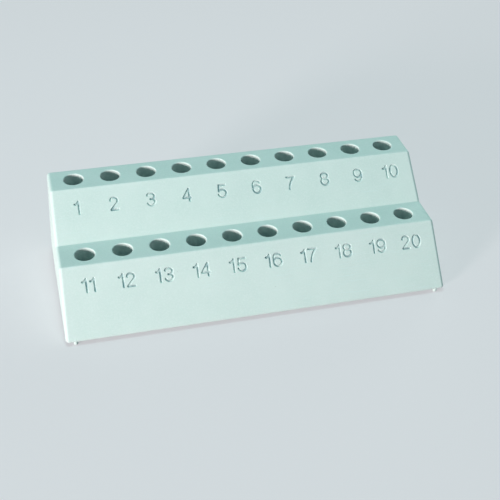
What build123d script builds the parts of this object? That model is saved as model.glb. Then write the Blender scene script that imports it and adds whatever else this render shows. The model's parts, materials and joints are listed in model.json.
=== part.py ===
"""Two-step rack for twenty 1.5 ml microcentrifuge tubes: one moulded block with blind wells.

Millimetres, +Z up. The rows run along X, the steps climb towards +Y, and the four
feet stand on Z = 0. The wells are numbered from -X to +X: 1 to 10 on the upper step
and 11 to 20 on the lower one.
"""

import math
import os

from build123d import *

# wells
ROW_COUNT = 10  # wells in each row
WELL_PITCH = 20.0  # centre to centre along a row
TUBE_DIAMETER = 10.6  # body of a 1.5 ml tube under its collar
TUBE_CLEARANCE = 0.2  # on the diameter, so a tube drops in
WELL_DEPTH = 20.0  # below the step
WELL_RIM_RADIUS = 0.5  # rounding of the mouth

# steps, measured from the centre lines of the two rows
ROW_SPACING = 40.7  # front row to back row
STEP_RISE = 20.8  # lower step to upper step
UPPER_STEP_FRONT = 9.3  # back row to the edge of the upper slope
UPPER_STEP_BACK = 10.3  # back row to the back face, at the top
LOWER_STEP_FRONT = 9.2  # front row to the edge of the lower slope
LOWER_STEP_BACK = 9.6  # front row to the foot of the upper slope
LOWER_BLOCK_HEIGHT = 30.6  # underside to lower step
LOWER_SLOPE_RUN = 25.4  # how far the lower slope comes forward

# outside
END_MARGIN = 13.6  # outermost well to the end face, at the top
DRAFT_ANGLE = 2.3  # of the two ends and the back, wider at the base
OUTER_RADIUS = 1.9  # ends, back and upright corners
STEP_EDGE_RADIUS = 1.2  # where each step turns down into its slope
INNER_CORNER_RADIUS = 1.0  # where the upper slope meets the lower step
BASE_EDGE_RADIUS = 0.9  # round the underside

# feet
FOOT_HEIGHT = 1.9
FOOT_DIAMETER = 2.2
FOOT_INSET_X = 5.2  # foot's centre in from the end of the underside
FOOT_INSET_Y = 2.1  # foot's centre in from the front and back of the underside
FOOT_TIP_RADIUS = 0.7  # rounding of the tip
FOOT_ROOT = 1.5  # how far a foot runs up into the block

# figures, sunk into the slopes below their wells; heights and widths are to a stroke's middle
FIGURE_HEIGHT = 6.8
FIGURE_WIDTH = 4.4
ONE_WIDTH = 2.0  # flag of the 1
ONE_DROP = 1.5  # how far down the flag of the 1 comes
TWO_WIDTH = 3.8
WAIST_OVERLAP = 0.3  # how far the two rounds of the 8 run into each other
FOUR_WIDTH = 3.4  # tip of the 4 to its stem
FOUR_TAIL = 0.7  # bar of the 4 past its stem
FIGURE_GAP = 2.2  # between the two figures of a number
FIGURE_DROP = 10.6  # middle of the figures, down the slope from the step's edge
FIGURE_SHIFT = -0.3  # of each number, off its well's centre line
GROOVE_WIDTH = 1.35
GROOVE_DEPTH = 0.6

# everything below follows from the sizes above
well_diameter = TUBE_DIAMETER + TUBE_CLEARANCE
draft = math.tan(math.radians(DRAFT_ANGLE))
block_height = LOWER_BLOCK_HEIGHT + STEP_RISE
row_length = (ROW_COUNT - 1) * WELL_PITCH
top_half_length = row_length / 2 + END_MARGIN
base_half_length = top_half_length + block_height * draft

# a shallower lower slope leaves the rounding of the base less room at the two front corners
lower_slope_angle = math.atan2(LOWER_BLOCK_HEIGHT, LOWER_SLOPE_RUN)
base_radius = min(BASE_EDGE_RADIUS, OUTER_RADIUS * (1 / math.cos(lower_slope_angle) - 1))

# heights of the underside and the two steps
under_z = FOOT_HEIGHT
lower_z = under_z + LOWER_BLOCK_HEIGHT
upper_z = lower_z + STEP_RISE

# the section's corners, front to back
front_y = 0.0
lower_edge_y = front_y + LOWER_SLOPE_RUN
lower_row_y = lower_edge_y + LOWER_STEP_FRONT
step_foot_y = lower_row_y + LOWER_STEP_BACK
upper_row_y = lower_row_y + ROW_SPACING
upper_edge_y = upper_row_y - UPPER_STEP_FRONT
back_top_y = upper_row_y + UPPER_STEP_BACK
back_base_y = back_top_y + block_height * draft


# ---- the stepped block ----
# the section across the rows, with its inner corner rounded, carried well past both ends
section = make_face(
    Polyline(
        (front_y, under_z),
        (lower_edge_y, lower_z),
        (step_foot_y, lower_z),
        (upper_edge_y, upper_z),
        (back_top_y, upper_z),
        (back_base_y, under_z),
        close=True,
    )
)
inner_corner = [v for v in section.vertices() if abs(v.X - step_foot_y) + abs(v.Y - lower_z) < 0.01]
section = fillet(inner_corner, INNER_CORNER_RADIUS)
bar = extrude(Plane.YZ * section, amount=2 * base_half_length, both=True)

# the drafted end faces cut it to length
ends = Polyline(
    (-base_half_length, under_z),
    (base_half_length, under_z),
    (top_half_length, upper_z),
    (-top_half_length, upper_z),
    close=True,
)
trim = extrude(make_face(Plane.XZ * ends), amount=2 * back_base_y, both=True)
block = bar & trim


def long_edge(y, z):
    """The block's edge along the rows at this place in the section."""
    found = []
    for edge in block.edges():
        middle = edge.center()
        near = abs(middle.Y - y) < 0.5 and abs(middle.Z - z) < 0.5
        if near and edge.length > row_length:
            found.append(edge)
    return found


# both ends and the top of the back first, then the step edges and the base
outline = block.faces().sort_by(Axis.X)
underside = block.faces().sort_by(Axis.Z)[0]
outer = long_edge(back_top_y, upper_z)
for end in (outline[0], outline[-1]):
    outer += [edge for edge in end.edges() if edge not in underside.edges()]
block = fillet(outer, OUTER_RADIUS)
for corner in ((lower_edge_y, lower_z), (upper_edge_y, upper_z)):
    block = fillet(long_edge(*corner), STEP_EDGE_RADIUS)
block = fillet(block.faces().sort_by(Axis.Z)[0].edges(), base_radius)


# ---- twenty blind wells ----
well_x = [WELL_PITCH * (i - (ROW_COUNT - 1) / 2) for i in range(ROW_COUNT)]
rows = [(upper_row_y, upper_z), (lower_row_y, lower_z)]
on_floor = (Align.CENTER, Align.CENTER, Align.MIN)
drill = Cylinder(well_diameter / 2, WELL_DEPTH + 1, align=on_floor)
wells = []
for row_y, step_z in rows:
    for x in well_x:
        wells.append(Pos(x, row_y, step_z - WELL_DEPTH) * drill)
block = block - wells

# each mouth is rounded
mouths = []
for edge in block.edges().filter_by(GeomType.CIRCLE):
    on_step = any(abs(edge.center().Z - step_z) < 0.01 for _, step_z in rows)
    if on_step and abs(edge.radius - well_diameter / 2) < 0.01:
        mouths.append(edge)
block = fillet(mouths, WELL_RIM_RADIUS)


# ---- the figures, each a list of strokes from its lower left corner ----
half_width = FIGURE_WIDTH / 2
half_height = FIGURE_HEIGHT / 2
upper_bowl = 0.24 * FIGURE_HEIGHT  # half the height of the upper round of the 8
lower_bowl = half_height - upper_bowl + WAIST_OVERLAP / 2
upper_middle = FIGURE_HEIGHT - upper_bowl


def bend(x, y, radius, start, sweep_angle):
    """A curved stroke about (x, y)."""
    return CenterArc((x, y), radius, start, sweep_angle)


def bends(start, heading, *turns):
    """A stroke of bends that run smoothly on from each other, each a radius and a turn."""
    path = []
    for radius, turn in turns:
        path.append(JernArc(start, heading, radius, turn))
        start = path[-1] @ 1
        heading = path[-1] % 1
    return Wire(path)


def oval(x, y, half_x, half_y):
    """A closed oval stroke about (x, y), of four bends that run smoothly into each other."""
    long_half = max(half_x, half_y)
    short_half = min(half_x, half_y)
    lean = 90 if half_x > half_y else 0
    end = 0.72 * short_half  # radius of the two tight bends
    rise = long_half - end
    room = short_half - end
    offset = (rise**2 - room**2) / (2 * room)
    side = short_half + offset
    turn = math.degrees(math.atan2(rise, offset))
    right = bend(-offset, 0, side, -turn, 2 * turn)
    top = bend(0, rise, end, turn, 180 - 2 * turn)
    left = bend(offset, 0, side, 180 - turn, 2 * turn)
    bottom = bend(0, -rise, end, 180 + turn, 180 - 2 * turn)
    return Pos(x, y) * Rot(0, 0, lean) * Wire([right, top, left, bottom])


def figure_0():
    return [oval(half_width, half_height, half_width, half_height)]


def figure_1():
    flag = TangentArc((0, FIGURE_HEIGHT - ONE_DROP), (ONE_WIDTH, FIGURE_HEIGHT), tangent=(1, 0))
    return [flag, Line((ONE_WIDTH, FIGURE_HEIGHT), (ONE_WIDTH, 0))]


def figure_2():
    radius = TWO_WIDTH / 2
    rise = FIGURE_HEIGHT - radius
    # the neck runs straight on from the round top to the lower left corner
    neck_angle = math.atan2(rise, radius) - math.asin(radius / math.hypot(rise, radius))
    tip_angle = 170
    top = bend(radius, rise, radius, tip_angle, math.degrees(neck_angle) - 90 - tip_angle)
    return [Wire([top, Line(top @ 1, (0, 0))]), Line((0, 0), (TWO_WIDTH, 0))]


def figure_3():
    """Two rounds that meet at a corner, where the short bar of the waist starts."""
    waist_y = 0.52 * FIGURE_HEIGHT
    corner_x = 0.73 * FIGURE_WIDTH
    corner_angle = 65  # round each oval, from level to the corner
    tip_angle = 160  # round each oval, from level to its free end
    strokes = [Line((0.48 * FIGURE_WIDTH, waist_y), (corner_x, waist_y))]
    rounds = [(1, 0.45 * FIGURE_WIDTH, FIGURE_HEIGHT - waist_y), (-1, 0.47 * FIGURE_WIDTH, waist_y)]
    for way, half_x, height in rounds:
        half_y = height / (1 + math.sin(math.radians(corner_angle)))
        x = corner_x - half_x * math.cos(math.radians(corner_angle))
        y = waist_y + way * (height - half_y)
        turn = way * (corner_angle + tip_angle)
        strokes.append(EllipticalCenterArc((x, y), half_x, half_y, -way * corner_angle, arc_size=turn))
    return strokes


def figure_4():
    bar_y = 0.28 * FIGURE_HEIGHT
    slant = Line((0, bar_y), (FOUR_WIDTH, FIGURE_HEIGHT))
    cross = Line((0, bar_y), (FOUR_WIDTH + FOUR_TAIL, bar_y))
    return [slant, cross, Line((FOUR_WIDTH, FIGURE_HEIGHT), (FOUR_WIDTH, 0))]


def figure_5():
    bowl = 0.31 * FIGURE_HEIGHT
    shoulder = 1.3 * bowl
    heel = 1.15 * bowl
    bottom_x = FIGURE_WIDTH - bowl
    belly = bends((bottom_x, 0), (1, 0), (bowl, 180), (shoulder, 45))
    hook = bend(bottom_x, heel, heel, 270, -65)
    corner = (0.15 * FIGURE_WIDTH, FIGURE_HEIGHT)
    top = Line(corner, (0.95 * FIGURE_WIDTH, FIGURE_HEIGHT))
    return [Line(belly @ 1, corner), top, belly, hook]


def figure_6():
    shoulder_y = FIGURE_HEIGHT - half_width
    hook = bend(half_width, shoulder_y, half_width, 35, 145)
    side = Line((0, shoulder_y), (0, half_width))
    return [Wire([hook, side]), Edge.make_circle(half_width, Plane((half_width, half_width, 0)))]


def figure_7():
    corner = (FIGURE_WIDTH, FIGURE_HEIGHT)
    knee = (0.45 * FIGURE_WIDTH, half_height)
    leg = ThreePointArc((0.22 * FIGURE_WIDTH, 0), knee, corner)
    return [Line((0, FIGURE_HEIGHT), corner), leg]


def figure_8():
    top = oval(half_width, upper_middle, 0.92 * half_width, upper_bowl)
    return [top, oval(half_width, lower_bowl, half_width, lower_bowl)]


# a groove is cut by a round nose carried along the stroke with its centre above the slope
nose = (GROOVE_WIDTH**2 / 4 + GROOVE_DEPTH**2) / (2 * GROOVE_DEPTH)


def cutter(strokes):
    """The round-nosed cutter for one figure, with its strokes' middle at the nose's centre."""
    pieces = []
    ends = []
    for line in strokes:
        if line.is_closed and line.geom_type == GeomType.CIRCLE:
            pieces.append(Pos(*line.arc_center) * Torus(line.radius, nose))
            continue
        disc = Plane(origin=line @ 0, z_dir=line % 0) * Circle(nose)
        pieces.append(sweep(disc, path=line))
        for end in (line @ 0, line @ 1):
            if all((end - other).length > GROOVE_DEPTH / 10 for other in ends):
                ends.append(end)
                pieces.append(Pos(*end) * Sphere(nose))
    # joined one at a time, because strokes that run smoothly into each other fuse badly together
    whole = pieces[0]
    for piece in pieces[1:]:
        whole = whole + piece
    return whole


six = cutter(figure_6())
nine = Pos(FIGURE_WIDTH, FIGURE_HEIGHT) * Rot(0, 0, 180) * six
figures = {
    "0": (cutter(figure_0()), FIGURE_WIDTH),
    "1": (cutter(figure_1()), ONE_WIDTH),
    "2": (cutter(figure_2()), TWO_WIDTH),
    "3": (cutter(figure_3()), FIGURE_WIDTH),
    "4": (cutter(figure_4()), FOUR_WIDTH + FOUR_TAIL),
    "5": (cutter(figure_5()), FIGURE_WIDTH),
    "6": (six, FIGURE_WIDTH),
    "7": (cutter(figure_7()), FIGURE_WIDTH),
    "8": (cutter(figure_8()), FIGURE_WIDTH),
    "9": (nine, FIGURE_WIDTH),
}


# ---- a number below every well, sunk square to its slope ----
slopes = [
    ((upper_edge_y, upper_z), (step_foot_y, lower_z)),
    ((lower_edge_y, lower_z), (front_y, under_z)),
]
numbers = []
for row, (edge, toe) in enumerate(slopes):
    run = edge[0] - toe[0]
    fall = edge[1] - toe[1]
    slope = math.hypot(run, fall)
    number_y = edge[0] - FIGURE_DROP * run / slope
    number_z = edge[1] - FIGURE_DROP * fall / slope
    for i, x in enumerate(well_x):
        text = str(1 + i + row * ROW_COUNT)
        width = sum(figures[c][1] for c in text) + FIGURE_GAP * (len(text) - 1)
        centre = (x + FIGURE_SHIFT, number_y, number_z)
        plane = Plane(origin=centre, x_dir=(1, 0, 0), z_dir=(0, -fall, run))
        left = -width / 2
        for c in text:
            tool, figure_width = figures[c]
            place = Pos(left, -half_height, nose - GROOVE_DEPTH)
            numbers.append(plane * place * tool)
            left += figure_width + FIGURE_GAP
block = block - numbers


# ---- four nib feet ----
nib = Cylinder(FOOT_DIAMETER / 2, FOOT_HEIGHT + FOOT_ROOT, align=on_floor)
nib = fillet(nib.edges().sort_by(Axis.Z)[0], FOOT_TIP_RADIUS)
foot_x = base_half_length - FOOT_INSET_X
feet = []
for y in (front_y + FOOT_INSET_Y, back_base_y - FOOT_INSET_Y):
    feet.append(Pos(-foot_x, y, 0) * nib)
    feet.append(Pos(foot_x, y, 0) * nib)
block = block + feet


# ---- the origin goes under the middle of the rack ----
middle = block.bounding_box().center()
rack = Pos(-middle.X, -middle.Y, 0) * block
os.makedirs("parts", exist_ok=True)
export_step(rack.solids()[0], "parts/rack.step")
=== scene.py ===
"""Two-step rack for twenty 1.5 ml microcentrifuge tubes, on a plain bench."""

import json
import math

import bmesh
import bpy
from mathutils import Matrix, Vector


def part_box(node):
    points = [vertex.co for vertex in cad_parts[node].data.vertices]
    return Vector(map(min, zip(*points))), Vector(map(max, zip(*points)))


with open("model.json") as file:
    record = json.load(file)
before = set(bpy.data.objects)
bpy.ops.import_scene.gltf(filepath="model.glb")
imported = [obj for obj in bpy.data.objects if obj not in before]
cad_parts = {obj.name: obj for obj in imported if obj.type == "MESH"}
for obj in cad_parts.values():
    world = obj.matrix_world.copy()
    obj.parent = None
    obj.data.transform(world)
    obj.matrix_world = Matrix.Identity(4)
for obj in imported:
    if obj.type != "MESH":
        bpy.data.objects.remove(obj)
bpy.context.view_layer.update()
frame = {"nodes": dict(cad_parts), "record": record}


# ---- the rack ----
# One thick block of white plastic, cast in a mould that leaves a fine satin skin. The wells,
# their rounded mouths, the sunk figures and the four nibs that it stands on are all moulded in.
rack = frame["nodes"]["rack"]
rack_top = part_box("rack")[1].z
bores = {mount["name"]: Vector(mount["pos_m"]) for mount in frame["record"]["mounts"]}

WELLS_IN_ROW = 10
PITCH = 0.02
WELL_RADIUS = 0.0054
WELL_DEPTH = 0.02
STEP_RISE = 0.0208
row_half = (WELLS_IN_ROW - 1) / 2 * PITCH  # the middle of a row to its outermost well

# each row's centre line, the height of its step, how far in front of the wells the step ends,
# and the run and fall of the slope below it
ROWS = [
    (bores["well_05"].y, rack_top, 0.0093, 0.0218, STEP_RISE),
    (bores["well_15"].y, rack_top - STEP_RISE, 0.0092, 0.0254, 0.0306),
]

# each mark of use or painted shade fades in over a distance: where it is still absent, and where
# it is full
ROW_END = (row_half + 0.0075, row_half + 0.0065)  # along a row, from its middle
EDGE_RUB = (0.0021, 0.0004)  # from the front edge of a step
STEP_RUB = (0.0014, 0.0003)  # above or below a step
MOUTH_RUB = (WELL_RADIUS + 0.0016, WELL_RADIUS + 0.0004)  # from the middle of a well
IN_WELL = (WELL_RADIUS + 0.0002, WELL_RADIUS + 0.0001)  # from the middle of a well
# painted shade, with some dust, darkens each well from this depth down
WELL_SHADE_AND_DUST = (-0.05 * WELL_DEPTH, -0.6 * WELL_DEPTH)  # above a step, so minus is down the well
GROOVE_TOP = (-0.00012, -0.00045)  # above a slope
GROOVE_FLOOR = (-0.0011, -0.0008)
FIGURES_TOP = (-0.003, -0.004)  # above a step
FIGURES_FOOT = (-0.0165, -0.0155)

DEEP_MIX = (0.69, 0.82, 0.762, 1)
PALE_MIX = (0.745, 0.858, 0.802, 1)
PIGMENT = (0.765, 0.875, 0.825, 1)
RUBBED = (0.76, 0.875, 0.825, 1)
# painted shade: a dark teal laid down the wells and in the sunk figures
SHADE_PAINT = (0.22, 0.36, 0.38, 1)
GRITTY = (0.22, 0.25, 0.23, 1)
SCRATCHED = (0.74, 0.88, 0.84, 1)


def empty_tree(owner):
    """A material's or a world's own nodes, with nothing in them yet."""
    owner.use_nodes = True
    owner.node_tree.nodes.clear()
    return owner.node_tree.nodes


def node(kind, links=None, **settings):
    """A node with its settings, and its inputs linked or set by name or number."""
    made = nodes.new("ShaderNode" + kind)
    for key, value in settings.items():
        setattr(made, key, value)
    for key, value in (links or {}).items():
        if isinstance(value, bpy.types.NodeSocket):
            made.id_data.links.new(value, made.inputs[key])
        else:
            made.inputs[key].default_value = value
    return made


def maths(operation, *values):
    """One step of arithmetic on sockets and numbers."""
    return node("Math", dict(enumerate(values)), operation=operation).outputs["Value"]


def product(*values):
    result = values[0]
    for value in values[1:]:
        result = maths("MULTIPLY", result, value)
    return result


def total(*values):
    result = values[0]
    for value in values[1:]:
        result = maths("ADD", result, value)
    return result


def reach(first, second):
    """How far a point is from a place, from its distances along two axes."""
    return maths("SQRT", maths("ADD", maths("POWER", first, 2.0), maths("POWER", second, 2.0)))


def fade(source, none_at, full_at):
    """0 at one value and 1 at the other, smooth between them and level beyond them."""
    made = node(
        "MapRange",
        {"Value": source, "From Min": none_at, "From Max": full_at},
        interpolation_type="SMOOTHSTEP",
    )
    return made.outputs["Result"]


def band(source, top, foot):
    """1 between two places and 0 outside them, each a pair of values for fade."""
    return product(fade(source, *top), fade(source, *foot))


def blend(amount, first, second):
    """One colour over another, by an amount from 0 to 1, on the Mix node's colour sockets."""
    made = node("Mix", {0: amount, 6: first, 7: second}, data_type="RGBA")
    return made.outputs[2]


def patches(at, scale, detail, roughness=0.5):
    """Cloudy patches from 0 to 1, about 1 / scale metres across."""
    made = node(
        "TexNoise", {"Vector": at, "Scale": scale, "Detail": detail, "Roughness": roughness}
    )
    return made.outputs["Fac"]


def bump(height, strength, distance, under=None, invert=False):
    """The skin's normal with a fine relief on it, over an earlier relief if there is one."""
    links = {"Height": height, "Strength": strength, "Distance": distance}
    if under is not None:
        links["Normal"] = under
    return node("Bump", links, invert=invert).outputs["Normal"]


white_plastic = bpy.data.materials.new("white_plastic")
nodes = empty_tree(white_plastic)
place = node("TexCoord").outputs["Object"]
x, y, z = node("SeparateXYZ", {"Vector": place}).outputs

# the colour drifts a little from batch mixing, in clouds a few centimetres across, and the
# pigment is a touch uneven below the millimetre
mixing = node("ValToRGB", {"Fac": patches(place, 35.0, 3.0, 0.55)})
for stop, position, colour in zip(mixing.color_ramp.elements, (0.3, 0.7), (DEEP_MIX, PALE_MIX)):
    stop.position = position
    stop.color = colour
pigment = fade(patches(place, 1100.0, 3.0, 0.7), 0.42, 0.75)
skin_colour = blend(pigment, mixing.outputs["Color"], PIGMENT)

# where fingers and tubes have rubbed it: the edges of the steps and the mouths of the wells.
# Painted shade darkens the bottoms of the wells and of the sunk figures, where a little dust
# also lies.
between_ends = fade(maths("ABSOLUTE", x), *ROW_END)
from_well_x = maths("WRAP", maths("SUBTRACT", x, bores["well_05"].x), 0.5 * PITCH, -0.5 * PITCH)
rubbed = []
shade_and_dust_parts = []
for row_y, step_z, ledge, run, fall in ROWS:
    above_step = maths("SUBTRACT", z, step_z)
    behind_edge = maths("SUBTRACT", y, row_y - ledge)
    rubbed.append(fade(reach(behind_edge, above_step), *EDGE_RUB))
    from_well = reach(from_well_x, maths("SUBTRACT", y, row_y))
    near_step = fade(maths("ABSOLUTE", above_step), *STEP_RUB)
    rubbed.append(product(fade(from_well, *MOUTH_RUB), near_step, between_ends))
    low_down = fade(above_step, *WELL_SHADE_AND_DUST)
    shade_and_dust_parts.append(product(fade(from_well, *IN_WELL), low_down, between_ends))
    slant = math.hypot(run, fall)
    above_slope = total(
        maths("MULTIPLY", behind_edge, -fall / slant), maths("MULTIPLY", above_step, run / slant)
    )
    in_groove = band(above_slope, GROOVE_TOP, GROOVE_FLOOR)
    shade_and_dust_parts.append(product(in_groove, band(above_step, FIGURES_TOP, FIGURES_FOOT), between_ends))
wear = product(total(*rubbed), fade(patches(place, 420.0, 4.0, 0.65), 0.38, 0.62))
# painted shade in the wells and figures, in patches; the same mask stands for dust where it
# dulls the skin
shade_and_dust = product(total(*shade_and_dust_parts), fade(patches(place, 300.0, 3.0), 0.2, 0.7))

# faint hairlines run two ways across it, in patches, each way turned and drawn out thin
hairlines = []
for turn, thinness in ((0.42, 52.0), (-0.75, 38.0)):
    turned = node(
        "Mapping",
        {"Vector": place, "Rotation": (0.3, -0.2, turn), "Scale": (1.0, thinness, thinness)},
    )
    hairlines.append(fade(patches(turned.outputs["Vector"], 48.0, 1.5), 0.63, 0.68))
scratches = product(total(*hairlines), fade(patches(place, 28.0, 2.0), 0.46, 0.6))

# a few dark specks are caught in the skin, in about one in twenty of a pattern's cells
grit = node("TexVoronoi", {"Vector": place, "Scale": 230.0})
grit_pick = node("SeparateColor", {"Color": grit.outputs["Color"]})
speck = fade(grit.outputs["Distance"], 0.055, 0.03)
specks = product(speck, fade(grit_pick.outputs["Red"], 0.94, 0.95))

# each mark goes over the ones before, by how strongly it shows
for mark, strength, colour in (
    (wear, 0.7, RUBBED),
    # painted shade, dark teal, down the wells and in the figures
    (shade_and_dust, 0.8, SHADE_PAINT),
    (specks, 0.45, GRITTY),
    (scratches, 0.5, SCRATCHED),
):
    skin_colour = blend(product(mark, strength), skin_colour, colour)

# the mould leaves slow waves and a pebble grain, which rubbing wears off, and the hairlines are
# cut into both
grain = product(patches(place, 2200.0, 4.0, 0.6), maths("SUBTRACT", 1.0, wear))
wavy = bump(patches(place, 60.0, 1.0), strength=0.12, distance=0.002)
grainy = bump(grain, strength=0.25, distance=0.00012, under=wavy)
relief = bump(scratches, strength=0.3, distance=0.00004, under=grainy, invert=True)

# the skin is satin, shinier where it is rubbed, and duller under dust and scratches
satin = node(
    "MapRange",
    {
        "Value": patches(place, 90.0, 5.0),
        "From Min": 0.3,
        "From Max": 0.7,
        "To Min": 0.66,
        "To Max": 0.78,
    },
)
roughness = total(
    satin.outputs["Result"], product(wear, -0.14), product(shade_and_dust, 0.25), product(scratches, 0.12)
)

skin = node(
    "BsdfPrincipled",
    {
        "Base Color": skin_colour,
        "Roughness": roughness,
        "Normal": relief,
        "IOR": 1.49,
        "Specular IOR Level": 0.35,
        "Subsurface Weight": 0.08,
        "Subsurface Radius": (0.0008, 0.001, 0.0009),
        "Subsurface Scale": 1.0,
    },
)
node("OutputMaterial", {"Surface": skin.outputs["BSDF"]})
rack.data.materials.clear()
rack.data.materials.append(white_plastic)


# ---- the bench ----
# A plain pale bench top of laminate, one flat sheet that runs out of sight on all sides. It is
# matt, and the rack stands loose on it.
BENCH_REACH = 6.0
LAMINATE = (0.55, 0.56, 0.57, 1)
LAMINATE_SEEN = (0.4, 0.385, 0.39, 1)
LAMINATE_GLOW = (0.43, 0.435, 0.45, 1)


def seen_or_lighting(seen, lighting):
    """One shader for the eye, straight on, mirrored or through glass, and one for light."""
    path = node("LightPath").outputs
    mirrored = maths("MAXIMUM", path["Is Glossy Ray"], path["Is Transmission Ray"])
    to_the_eye = maths("MAXIMUM", path["Is Camera Ray"], mirrored)
    return node("MixShader", {0: to_the_eye, 1: lighting, 2: seen}).outputs["Shader"]


bench_mesh = bpy.data.meshes.new("bench")
bench_shape = bmesh.new()
bmesh.ops.create_grid(bench_shape, x_segments=1, y_segments=1, size=BENCH_REACH)
bench_shape.to_mesh(bench_mesh)
bench_shape.free()
bench = bpy.data.objects.new("bench", bench_mesh)
bpy.context.scene.collection.objects.link(bench)

bench_top = bpy.data.materials.new("bench_top")
nodes = empty_tree(bench_top)
laminate = node("BsdfDiffuse", {"Color": LAMINATE}).outputs["BSDF"]
pale_top = node("BsdfDiffuse", {"Color": LAMINATE_SEEN}).outputs["BSDF"]
glow = node("Emission", {"Color": LAMINATE_GLOW, "Strength": 1.0}).outputs["Emission"]
seen_top = node("AddShader", {0: pale_top, 1: glow}).outputs["Shader"]
node("OutputMaterial", {"Surface": seen_or_lighting(seen_top, laminate)})
bench_mesh.materials.append(bench_top)


# ---- light ----
# Three soft square lamps stand round the rack and point at its middle: the main one low at the
# front left, a weak one overhead, and a broad one at the back right. The room is plain and pale.
LIT_PLACE = Vector((0, 0, 0.03))

# each lamp's name, place, width, watts and colour
LAMPS = [
    ("left_lamp", (-1.39, -1.0, 0.25), 0.3, 32.5, (1.0, 0.915, 0.93)),
    ("top_lamp", (-0.05, 0.12, 1.08), 0.4, 4.2, (0.6, 1.0, 0.97)),
    ("back_lamp", (1.3, 1.2, 0.3), 0.9, 11.5, (0.9, 1.0, 0.99)),
]
ROOM_LIGHT = (0.6, 0.85, 1.0, 1)
ROOM_WALL = (0.62, 0.63, 0.65, 1)

for name, at, width, watts, colour in LAMPS:
    bulb = bpy.data.lights.new(name, "AREA")
    bulb.shape = "SQUARE"
    bulb.size = width
    bulb.energy = watts
    bulb.color = colour
    lamp = bpy.data.objects.new(name, bulb)
    bpy.context.scene.collection.objects.link(lamp)
    aimed = (LIT_PLACE - Vector(at)).to_track_quat("-Z", "Y")
    lamp.matrix_world = Matrix.Translation(at) @ aimed.to_matrix().to_4x4()

room = bpy.data.worlds.new("room")
nodes = empty_tree(room)
fill = node("Background", {"Color": ROOM_LIGHT, "Strength": 0.16}).outputs["Background"]
wall = node("Background", {"Color": ROOM_WALL, "Strength": 1.0}).outputs["Background"]
node("OutputWorld", {"Surface": seen_or_lighting(wall, fill)})
bpy.context.scene.world = room
bpy.context.scene.view_settings.view_transform = "Standard"


# ---- camera ----
# It stands in front of the rack and a little to its left, and looks down on it through a short
# telephoto lens. It is tipped by about two degrees.
AZIMUTH = math.radians(-15.86)
ELEVATION = math.radians(37.77)
ROLL = math.radians(2.34)
DISTANCE = 0.51726
AIM = Vector((0.00052, -0.00937, 0.02038))

back_along = Vector(
    (
        math.sin(AZIMUTH) * math.cos(ELEVATION),
        -math.cos(AZIMUTH) * math.cos(ELEVATION),
        math.sin(ELEVATION),
    )
)
level = Vector((0, 0, 1)).cross(back_along).normalized()
upright = back_along.cross(level)
across = math.cos(ROLL) * level + math.sin(ROLL) * upright
upwards = math.cos(ROLL) * upright - math.sin(ROLL) * level
lens = bpy.data.cameras.new("camera")
lens.lens = 66.96
lens.sensor_width = 36.0
lens.clip_start = 0.01
camera = bpy.data.objects.new("camera", lens)
bpy.context.scene.collection.objects.link(camera)
facing = Matrix((across, upwards, back_along)).transposed().to_4x4()
camera.matrix_world = Matrix.Translation(AIM + DISTANCE * back_along) @ facing
bpy.context.scene.camera = camera
